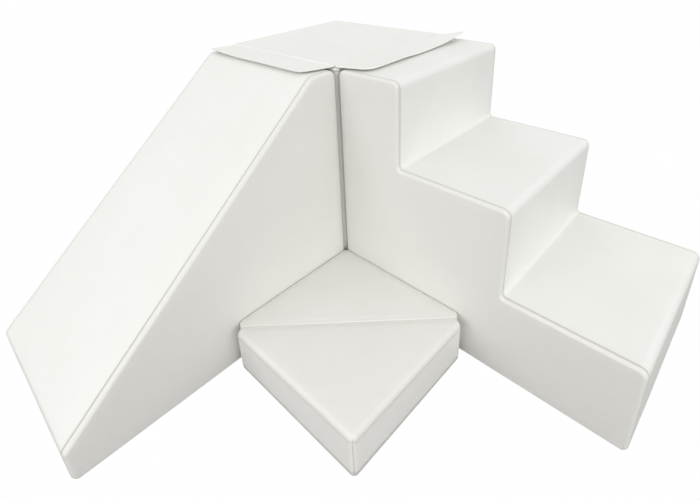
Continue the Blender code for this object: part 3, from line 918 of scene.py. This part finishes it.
def dressBlock(name, axes, corners, width, look, crowns, sides, slotSide):
    # sides are the words for the side panels at depth 0 and at the full width; slotSide has the zip
    body = name + "_block"
    length, height = corners[-1][0], corners[1][1]
    # a third along and up lies inside a wedge too
    middle = axes["origin"] + axes["u"] * length / 3 + axes["d"] * width / 2 + up * height / 3
    rounds = [cover["backEdge"]] + [look["edgeRound"]] * (len(corners) - 2) + [cover["floorEdge"]]
    for side, farDepth in zip(sides, (None, width)):
        slot = None
        if side == slotSide:
            slot = slotCorners(length / 2, look["zipHeight"], length - 2 * look["zipMargin"])
        shape = cupShape(axes, corners, rounds, look["seamDepth"], look["sideCrown"], farDepth, slot)
        node = name + "_" + side + "_side_panel"
        dressCover(name + side.title() + "Side", shape, "side", middle, node, body)
    start = look["seamDepth"] + cover["slit"]
    shape = wallShape(axes, corners, start, width - start, crowns)
    dressCover(name + "RunningPanel", shape, "top", middle, name + "_running_panel", body)
    base = name + "_base_panel"
    low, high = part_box(base)
    plan = rectangle(0, 0, high.x - low.x, high.y - low.y, basePanel["round"])
    flatAxes = makeAxes(low, right, ahead, up)
    shape = slabShape(flatAxes, plan, high.z - low.z, basePanel["edgeRound"], basePanel["step"])
    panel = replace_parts(addPiece(name + "BasePanel", shape, finishes["base"]), base)
    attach(panel, body)


slideWidth = slideHigh.x - slideLow.x
slideLength = slideHigh.y - slideLow.y
slideAxes = makeAxes(
    Vector((slideLow.x, slideHigh.y, 0)), -ahead, up, right, seed=1.7,
    seamShares=(slide["outerSeamShadeShare"], 1, slideWidth),
)
slideCorners = [
    (0, slideLow.z, slide["floorRound"]),
    (0, slideHigh.z, slide["backRound"]),
    (slide["flat"], slideHigh.z, slide["breakRound"]),
    (slideLength, slide["nose"], slide["noseRound"]),
    (slideLength, slideLow.z, slide["floorRound"]),
]
dressBlock(
    "slide", slideAxes, slideCorners, slideWidth, slide,
    [0, slide["topCrown"], slide["slopeCrown"], slide["noseCrown"], 0],
    ("outer", "inner"), "outer",
)
print("slide dressed")

stairsWidth = stairsHigh.y - stairsLow.y
stairsLength = stairsHigh.x - stairsLow.x
stairsAxes = makeAxes(
    Vector((stairsLow.x, stairsLow.y, 0)), right, up, ahead, seed=4.2,
    seamShares=(1, stairs["outerSeamShadeShare"], stairsWidth),
)
tread = (stairsLength - stairs["topTread"]) / (stairs["levels"] - 1)
riser = stairsHigh.z / stairs["levels"]
stairsCorners = [
    (0, stairsLow.z, stairs["floorRound"]),
    (0, stairsHigh.z, stairs["backRound"]),
    (stairs["topTread"], stairsHigh.z, stairs["nosingRound"]),
]
for level in range(1, stairs["levels"]):
    nosing = stairs["topTread"] + level * tread
    stairsCorners.append((nosing - tread, stairsHigh.z - level * riser, stairs["creaseRound"]))
    stairsCorners.append((nosing, stairsHigh.z - level * riser, stairs["nosingRound"]))
stairsCorners.append((stairsLength, stairsLow.z, stairs["floorRound"]))
dressBlock(
    "stairs", stairsAxes, stairsCorners, stairsWidth, stairs,
    [0, stairs["topCrown"]] + [stairs["riserCrown"], stairs["treadCrown"]] * (stairs["levels"] - 1)
    + [stairs["riserCrown"], 0],
    ("inner", "back"), "back",
)
print("stairs dressed")

# Corner block and the two triangular pads: top and base panels wrap round the edges, a band stands between
corner = {
    "postRound": 0.012,
    "innerPostRound": 0.0132,
    "seamDepth": 0.008,
    "edgeRound": 0.008,
    "crown": 0.0005,
    "sideCrown": 0.0010,
    "zipHeight": 0.034,
    "zipMargin": 0.030,
    "postSeam": None,
    "finishes": ("top", "side"),
}
pad = {
    "postRound": 0.010,
    "seamDepth": 0.011,
    "edgeRound": 0.0095,
    "wallEdgeRound": 0.002,
    "foldRound": 0.003,
    "foldGap": 0.0003,
    "lip": 0.0006,
    # painted seam shade on the pads, as a share of its full strength
    "seamShare": 0.5,
    "crown": 0.0022,
    "sideCrown": 0.0,
    "zipMargin": 0.0555,
    "postSeam": {"depth": 0.0016, "width": 0.0009},
    "zipHeight": matHigh.z / 2,
    # the bands take the lighter copy: painted light on the pads' sides
    "finishes": ("padTop", "padSideLit"),
}
diagonal = Vector((1, 1, 0)).normalized()
backward = Vector((-1, 1, 0)).normalized()
# name, node, side of the fold, seed of the unevenness, rounding of the two outer edges
bothPads = (
    ("backPad", "back_pad", 1, 11.3, pad["wallEdgeRound"]),
    ("frontPad", "front_pad", -1, 14.9, pad["edgeRound"]),
)


def dressPlanBlock(name, axes, corners, rounds, height, look, body, slotEdge, node):
    seam = look["seamDepth"]
    postSeam = look["postSeam"]
    topFinish, bandFinish = look["finishes"]
    centre = sum((at(corners, i) for i in range(len(corners))), Vector((0, 0))) / len(corners)
    middle = axes["origin"] + axes["u"] * centre.x + axes["v"] * centre.y + up * height / 2
    shape = cupShape(axes, corners, rounds, seam, look["crown"], height, seams=postSeam)
    dressCover(name + "TopPanel", shape, topFinish, middle, node + "_top_panel", body)
    baseRounds = [min(edge, cover["floorEdge"]) for edge in rounds]
    shape = cupShape(axes, corners, baseRounds, seam, 0, seams=postSeam)
    dressCover(name + "BasePanel", shape, "base", middle, node + "_base_panel", body)
    start = seam + cover["slit"]
    wide = zipSlot["width"] / 2
    run = at(corners, slotEdge + 1) - at(corners, slotEdge)
    slot = (slotEdge, run.length / 2 - look["zipMargin"], look["zipHeight"] - wide, look["zipHeight"] + wide)
    crowns = [look["sideCrown"]] * len(corners)
    shape = wallShape(axes, corners, start, height - start, crowns, True, slot, postSeam)
    dressCover(name + "SideBand", shape, bandFinish, middle, node + "_side_band", body)


cornerSide = cornerHigh.x - cornerLow.x
cornerAxes = makeAxes(
    Vector((cornerLow.x, cornerLow.y, 0)), right, ahead, up, seed=8.1, seamShares=(1, 1, 1),
)
cornerPlan = rectangle(0, 0, cornerSide, cornerSide, corner["postRound"])
cornerPlan[1] = (cornerSide, 0, corner["innerPostRound"])
dressPlanBlock(
    "corner", cornerAxes, cornerPlan, [corner["edgeRound"]] * 4, cornerHigh.z, corner,
    "corner_block", 2, "corner",
)
padHalf = (matHigh.x - matLow.x) / math.sqrt(2) - pad["foldGap"]
padPlan = [(-padHalf, 0, pad["postRound"]), (padHalf, 0, pad["postRound"]), (0, padHalf, pad["postRound"])]
for name, node, away, seed, edgeRound in bothPads:
    padAxes = makeAxes(
        Vector((matMiddle.x, matMiddle.y, 0)) + backward * pad["foldGap"] * away, diagonal * away,
        backward * away, up, seed=seed, lip=pad["lip"], seamShares=(pad["seamShare"], pad["seamShare"], 1),
    )
    rounds = [pad["foldRound"], edgeRound, edgeRound]
    dressPlanBlock(name, padAxes, padPlan, rounds, matHigh.z, pad, node, 0, node)
print("corner block and pads dressed")

# Strip of leatherette that hinges the pads: it bridges the groove between them and dips into it
foldStrip = {
    "width": 0.0084,  # what lies on the tops of the pads
    "flatWidth": 0.010,
    "thick": 0.0004,
    "margin": 0.020,
    "proud": 0.00015,
    "dip": 0.0011,
    "dipWidth": 0.0019,
    "round": 0.001,
    "edgeRound": 0.0001,
    "step": 0.0012,
    "blendReach": 0.0018,
}
foldAxes = makeAxes(Vector((matMiddle.x, matMiddle.y, matHigh.z)), diagonal, backward, up)


def foldLift(u, v):
    # follows the top panels beside the fold
    swell = swellAt(spotAt(foldAxes, u, v, 0))
    dip = foldStrip["dip"] * math.exp(-(v / foldStrip["dipWidth"]) ** 2)
    return swell + capLift(padPlan, u, abs(v), pad["crown"]) + foldStrip["proud"] - dip


def layFoldStrip():
    reach = padHalf - foldStrip["margin"]
    side = foldStrip["width"] / 2
    plan = rectangle(-reach, -side, reach, side, foldStrip["round"])
    shape = slabShape(foldAxes, plan, foldStrip["thick"], foldStrip["edgeRound"], foldStrip["step"], foldLift)
    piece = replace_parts(addPiece("matHingeStrip", shape, finishes["padTop"]), "mat_hinge_strip")
    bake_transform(piece)


layFoldStrip()
print("hinge strip laid")

# Top sheet, its two flaps and the hook and loop strips under them
topSheet = {
    "edgeRound": 0.0011,
    "outerRound": 0.010,
    "innerRound": 0.002,
    "hingeGap": 0.0043,
    "step": 0.009,
    "rumple": 0.0007,
    "rumpleSize": 0.09,
}
flapCloth = {
    "width": 0.068,
    "nearRound": 0.022,
    "farRound": 0.006,
    "step": 0.007,
    "sheetGap": 0.0003,
    "tuck": 0.003,
    "tuckEnd": 0.001,
    "blendReach": 0.0028,
    "bendRows": 5,
    "waveMean": 0.5,
    "waveShare": 0.9,
    "waveGrowth": 1.5,
    "waveSkew": 9,
    "waveSeed": 3.3,
}
slideFlap = {
    "body": "slide_top_flap",
    "short": 0.007,
    "near": 0.008,
    "taper": 0.022,
    "wave": 0.0012,
    "waveSize": 0.075,
    "curl": 0.0034,
    "curlReach": 0.060,
    "bead": 0.0019,
    "beadWidth": 0.0019,
}
stairsFlap = {
    "body": "stairs_top_flap",
    "short": 0.005,
    "near": 0.002,
    "taper": 0.016,
    "wave": 0.0026,
    "waveSize": 0.060,
    "curl": 0.0120,
    "curlReach": 0.055,
    "bead": -0.0006,
    "beadWidth": 0.0009,
}
tapeStrip = {"edgeRound": 0.0004, "round": 0.002, "step": 0.008}
sheetThick = sheetHigh.z - sheetLow.z


def sheetLift(u, v):
    return topSheet["rumple"] * waveAt(Vector((u, v, 0)) / topSheet["rumpleSize"])


def layTopSheet():
    width = sheetHigh.x - sheetLow.x
    inner = topSheet["hingeGap"] - (cornerHigh.x - sheetHigh.x)
    plan = rectangle(0, inner, width - inner, width, topSheet["innerRound"])
    plan[2] = (width - inner, width, topSheet["outerRound"])
    plainAxes = makeAxes(sheetLow, right, ahead, up)
    shape = slabShape(plainAxes, plan, sheetThick, topSheet["edgeRound"], topSheet["step"], sheetLift)
    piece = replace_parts(addPiece("cornerTopSheet", shape, finishes["top"]), "corner_top_sheet")
    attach(piece, "corner_block")


def makeFlap(name, axes, look, node):
    far, width, innerRound = look["far"], flapCloth["width"], topSheet["innerRound"]
    start = flapCloth["sheetGap"] - topSheet["hingeGap"]
    plan = [
        (start, look["near"] - flapCloth["tuck"], innerRound),
        (start, far, innerRound),
        (width, far, flapCloth["farRound"]),
        (width, look["near"] + look["taper"], flapCloth["nearRound"]),
        (flapCloth["tuckEnd"], look["near"], innerRound),
    ]

    def flapLift(u, v):
        free = clamped(u / width)
        place = Vector((v / look["waveSize"], u * flapCloth["waveSkew"], flapCloth["waveSeed"]))
        wave = look["wave"] * free ** flapCloth["waveGrowth"]
        wave *= flapCloth["waveMean"] + flapCloth["waveShare"] * noise.noise(place)
        tip = math.hypot(width - u, far - v) / look["curlReach"]
        return max(0, wave) + look["curl"] * free * math.exp(-tip * tip)

    def bead(u, v):
        return look["bead"] * math.exp(-(u / look["beadWidth"]) ** 2)

    blendReach, count = flapCloth["blendReach"], flapCloth["bendRows"]
    rows = [blendReach * k / count for k in range(-count, count + 1)]
    shape = slabShape(axes, plan, sheetThick, topSheet["edgeRound"], flapCloth["step"], flapLift, rows, bead)
    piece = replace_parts(addPiece(name, shape, finishes["top"]), node)
    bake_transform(piece)
    return flapLift


def spanOf(node, axes):
    # lowest and highest u, then v, of a CAD node
    ends = [point - axes["origin"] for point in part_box(node)]
    return [sorted(end.dot(axes[way]) for end in ends) for way in ("u", "v")]


def makeStrip(name, node, body, finish, axes, lift):
    # a hook or loop strip where its CAD solid lies, shaped like what it is sewn to
    low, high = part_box(node)
    (lowU, highU), (lowV, highV) = spanOf(node, axes)
    level = {**axes, "origin": Vector((*axes["origin"].xy, low.z))}
    plan = rectangle(lowU, lowV, highU, highV, tapeStrip["round"])
    shape = slabShape(level, plan, high.z - low.z, tapeStrip["edgeRound"], tapeStrip["step"], lift)
    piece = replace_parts(addPiece(name, shape, finishes[finish]), node)
    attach(piece, body)


def layFlap(words, axes, look):
    # a flap and its two strips; returns the flap's unevenness
    loop, hook = words + "LoopStrip", words + "HookStrip"
    lift = makeFlap(words + "FlapCloth", axes, look, words + "_flap")
    makeStrip(loop, words + "_loop_strip", words + "_top_flap", "loop", axes, lift)
    makeStrip(hook, words + "_hook_strip", words + "_block", "hook", axes, None)
    return lift


layTopSheet()
innerCorner = Vector((cornerHigh.x, cornerLow.y, sheetLow.z))
slideFlapAxes = makeAxes(innerCorner, -ahead, -right, up)
stairsFlapAxes = makeAxes(innerCorner, right, ahead, up)
slideFlap["far"] = innerCorner.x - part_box("slide_flap")[0].x - slideFlap["short"]
stairsFlap["far"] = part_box("stairs_flap")[1].y - innerCorner.y - stairsFlap["short"]
slideFlap["lift"] = layFlap("slide", slideFlapAxes, slideFlap)
stairsFlap["lift"] = layFlap("stairs", stairsFlapAxes, stairsFlap)
print("sheet, flaps and strips laid")

# Lockstitch beside both hinges and round the hook and loop strips
stitch = {
    "pitch": 0.0046,
    "length": 0.0036,
    "thick": 0.0005,
    "hingeGap": 0.0085,
    "sheetGap": 0.0105,
    "stripGap": 0.0022,
    "endGap": 0.004,
    "sides": 6,
    # place along, height and girth of each section, in halves of the length and in thicknesses
    "profile": ((-1, -0.6, 0.5), (-0.75, -0.2, 0.9), (0, -0.05, 1), (0.75, -0.2, 0.9), (1, -0.6, 0.5)),
}


def stitchRow(axes, start, end, level, lift=None, facing=1):
    # one row of threads from start to end, each an arched rod whose ends dip into the cloth
    start, end = Vector(start), Vector(end)
    along = (end - start).normalized()
    count = int((end - start).length / stitch["pitch"])
    aside = axes["u"] * along.y - axes["v"] * along.x
    threads = []
    for k in range(count):
        middle = start.lerp(end, (k + 0.5) / count)
        sections = []
        for share, rise, girth in stitch["profile"]:
            u, v = middle + along * stitch["length"] / 2 * share
            height = level + (lift(u, v) if lift else 0) + facing * rise * stitch["thick"]
            centre = spotAt(axes, u, v, height)
            radius = stitch["thick"] / 2 * girth
            section = []
            for side in range(stitch["sides"]):
                turn = 2 * math.pi * side / stitch["sides"]
                section.append(centre + (aside * math.cos(turn) + axes["d"] * math.sin(turn)) * radius)
            sections.append(section)
        threads.append(rodShape(sections))
    return threads


def stitchRound(axes, node, level, lift=None, facing=1):
    gap = stitch["stripGap"]
    (lowU, highU), (lowV, highV) = spanOf(node, axes)
    path = [corner[:2] for corner in rectangle(lowU + gap, lowV + gap, highU - gap, highV - gap, 0)]
    threads = []
    for start, end in pairs(path):
        threads += stitchRow(axes, start, end, level, lift, facing)
    return threads


def sewPiece(name, threads, body):
    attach(addPiece(name, joinShapes(*threads), finishes["thread"]), body)


def sheetLiftAt(axes):
    # the top sheet's own unevenness, seen from a flap's axes
    def lift(u, v):
        spot = spotAt(axes, u, v, 0) - sheetLow
        return sheetLift(spot.x, spot.y)
    return lift


def sewFlap(words, axes, look):
    # returns the row beside the hinge that stays on the sheet
    far, lift = look["far"] - stitch["endGap"], look["lift"]
    gap = stitch["hingeGap"]
    rows = stitchRow(axes, (gap, look["near"] + stitch["endGap"]), (gap, far), sheetThick, lift)
    loop, hook = words + "_loop_strip", words + "_hook_strip"
    rows += stitchRound(axes, loop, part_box(loop)[0].z - sheetLow.z, lift, -1)
    sewPiece(words + "FlapStitches", rows, look["body"])
    rows = stitchRound(axes, hook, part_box(hook)[1].z - sheetLow.z)
    sewPiece(words + "HookStitches", rows, words + "_block")
    gap = stitch["sheetGap"]
    return stitchRow(axes, (-gap, gap + stitch["endGap"]), (-gap, far), sheetThick, sheetLiftAt(axes))


sheetRows = sewFlap("slide", slideFlapAxes, slideFlap) + sewFlap("stairs", stairsFlapAxes, stairsFlap)
sewPiece("sheetStitches", sheetRows, "corner_block")
print("stitches sewn")

# Zips: two halves of tape behind the slot, and a coil of small plastic loops down the middle
zipper = {
    "tapeDepth": 0.0031,
    "tape": 0.0006,
    "tapeSide": 0.0113,
    "tapeGap": 0.0003,
    "tapeEnd": 0.0055,
    "tapeRound": 0.0004,
    "tapeEdgeRound": 0.0001,
    "tapeStep": 0.02,
    "tapeFill": 0.05,
    "toothPitch": 0.0015,
    "toothThick": 0.00095,
    "toothSunk": 0.0001,
    "toothShoulder": 0.75,
    "coilSide": 0.0024,
    "coilTop": 0.0019,
    "profile": ((-1, 0.25), (-0.72, 0.9), (0, 1.0), (0.72, 0.9), (1, 0.25)),  # place across, height
}


def makeZip(name, node, body, middle, along, out, length):
    reach = length / 2 + zipper["tapeEnd"]
    axes = makeAxes(middle - out * (zipper["tapeDepth"] + zipper["tape"]), along, up, out)
    halves = []
    for low, high in ((zipper["tapeGap"], zipper["tapeSide"]), (-zipper["tapeSide"], -zipper["tapeGap"])):
        plan = rectangle(-reach, low, reach, high, zipper["tapeRound"])
        halves.append(slabShape(
            axes, plan, zipper["tape"], zipper["tapeEdgeRound"], zipper["tapeStep"], fill=zipper["tapeFill"]))
    tape = addPiece(name + "Tape", joinShapes(*halves), finishes["tape"])
    teeth = []
    count = int(length / zipper["toothPitch"]) - 1
    half = along * zipper["toothThick"] / 2
    for k in range(count):
        place = middle + along * ((k - (count - 1) / 2) * zipper["toothPitch"])
        sections = []
        for share, rise in zipper["profile"]:
            centre = place + up * zipper["coilSide"] * share
            base = centre - out * (zipper["tapeDepth"] + zipper["toothSunk"])
            top = base + out * (zipper["tapeDepth"] - zipper["coilTop"]) * rise
            shoulder = base.lerp(top, zipper["toothShoulder"])
            sections.append([base - half, shoulder - half, top, shoulder + half, base + half])
        teeth.append(rodShape(sections))
    coil = addPiece(name + "Coil", joinShapes(*teeth), finishes["coil"])
    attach(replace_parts(coil, node), body)
    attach(tape, body)


makeZip(
    "cornerZip", "corner_zip_chain", "corner_block",
    Vector(((cornerLow.x + cornerHigh.x) / 2, cornerHigh.y, corner["zipHeight"])),
    right, ahead, cornerSide - 2 * corner["zipMargin"],
)
makeZip(
    "slideZip", "slide_zip_chain", "slide_block",
    Vector((slideLow.x, (slideLow.y + slideHigh.y) / 2, slide["zipHeight"])),
    ahead, -right, slideLength - 2 * slide["zipMargin"],
)
makeZip(
    "stairsZip", "stairs_zip_chain", "stairs_block",
    Vector(((stairsLow.x + stairsHigh.x) / 2, stairsHigh.y, stairs["zipHeight"])),
    right, ahead, stairsLength - 2 * stairs["zipMargin"],
)
for name, node, away, _, _ in bothPads:
    place = Vector((matMiddle.x, matMiddle.y, pad["zipHeight"])) + backward * pad["foldGap"] * away
    length = 2 * padHalf - 2 * pad["zipMargin"]
    makeZip(name + "Zip", node + "_zip_chain", node, place, diagonal, -backward * away, length)
print("zips set")

# Foam and metal parts keep their CAD shape and get their finish
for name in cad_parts:
    finish = "foam" if "foam" in name else "metal" if name.endswith("zip_slider") else None
    if finish:
        solid = bpy.data.objects[name]
        solid.data.materials.clear()
        solid.data.materials.append(finishes[finish]["material"])

# Camera, floor and light: white room with a broad soft light on either side of the camera
view = {
    "azimuth": math.radians(45.86),
    "elevation": math.radians(23.21),
    "roll": -0.0535,
    "place": (0.5071, -0.4843, 0.7571),
    "lens": 24.007,
    "sensor": 36,
    "shift": (0.0171, -0.1714),
    "clipStart": 0.02,
}
studio = {
    "floorSide": 14.0,
    "floorSeen": (1.0, 1.0, 1.0, 1),
    "floorFibre": (0.99, 0.99, 0.99, 1),
    "floorBounce": (0.22, 0.22, 0.22, 1),
    "fibreScale": 6.0,
    "fibreDetail": 3.0,
    "world": 0.85,
    # place, side, power, and whether it shows in gloss
    "lights": {
        "rightLight": ((3.9, -0.9, 1.67), 3.0, 56.0, True),
        "leftLight": ((-0.6, -4.2, 1.82), 3.0, 56.0, True),
        "backLight": ((-2.2, 2.2, 0.7), 2.0, 26.0, False),
    },
}


def makeCamera(look):
    sideways = Vector((math.cos(look["azimuth"]), math.sin(look["azimuth"]), 0))
    level = Vector((-math.sin(look["azimuth"]), math.cos(look["azimuth"]), 0))
    back = -level * math.cos(look["elevation"]) + up * math.sin(look["elevation"])
    upward = back.cross(sideways)
    turned = sideways * math.cos(look["roll"]) + upward * math.sin(look["roll"])
    lens = bpy.data.cameras.new("photoLens")
    lens.lens = look["lens"]
    lens.sensor_width = look["sensor"]
    lens.shift_x, lens.shift_y = look["shift"]
    lens.clip_start = look["clipStart"]
    camera = bpy.data.objects.new("photoCamera", lens)
    axes = Matrix((turned, back.cross(turned), back)).transposed().to_4x4()
    camera.matrix_world = Matrix.Translation(look["place"]) @ axes
    bpy.context.scene.collection.objects.link(camera)
    bpy.context.scene.camera = camera


def showTwo(tree, lit, seen, output):
    # light meets one shader and the camera sees the other
    ray = addNode(tree, "LightPath").outputs["Is Camera Ray"]
    choose = addNode(tree, "MixShader", {0: ray, 1: lit.outputs[0], 2: seen.outputs[0]})
    wire(tree, choose.outputs[0], output.inputs["Surface"])


def makeFloor(look):
    # near white where the camera looks at it, and darker to the light that it throws back up
    half = look["floorSide"] / 2
    mesh = bpy.data.meshes.new("studioFloor")
    corners = [(u, v, 0) for u, v, _ in rectangle(-half, -half, half, half, 0)]
    mesh.from_pydata(corners, [], [(0, 1, 2, 3)])
    material = bpy.data.materials.new("floorPaper")
    material.use_nodes = True
    tree = material.node_tree
    tree.nodes.clear()
    place = addNode(tree, "TexCoord").outputs["Object"]
    fibre = noiseValue(tree, place, look["fibreScale"], look["fibreDetail"])
    glow = addNode(tree, "Emission", {"Color": mixed(tree, fibre, look["floorSeen"], look["floorFibre"])})
    paper = addNode(tree, "BsdfDiffuse", {"Color": look["floorBounce"]})
    showTwo(tree, paper, glow, addNode(tree, "OutputMaterial"))
    mesh.materials.append(material)
    floor = bpy.data.objects.new("studioFloor", mesh)
    bpy.context.scene.collection.objects.link(floor)


def makeLight(look):
    world = bpy.data.worlds.new("studioRoom")
    world.use_nodes = True
    tree = world.node_tree
    room = tree.nodes["Background"]
    room.inputs["Color"].default_value = (1, 1, 1, 1)
    room.inputs["Strength"].default_value = look["world"]
    backdrop = addNode(tree, "Background", {"Color": look["floorSeen"]})
    showTwo(tree, room, backdrop, tree.nodes["World Output"])
    bpy.context.scene.world = world
    for name, (place, size, power, glossy) in look["lights"].items():
        lamp = bpy.data.lights.new(name, "AREA")
        lamp.size = size
        lamp.energy = power
        light = bpy.data.objects.new(name, lamp)
        light.location = place
        light.visible_camera = False
        light.visible_glossy = glossy
        towards = (cadBox[0] + cadBox[1]) / 2 - light.location
        light.rotation_euler = towards.to_track_quat("-Z", "Y").to_euler()
        bpy.context.scene.collection.objects.link(light)


makeCamera(view)
makeFloor(studio)
makeLight(studio)
bpy.context.scene.view_settings.view_transform = "Standard"
print("camera, floor and light set")
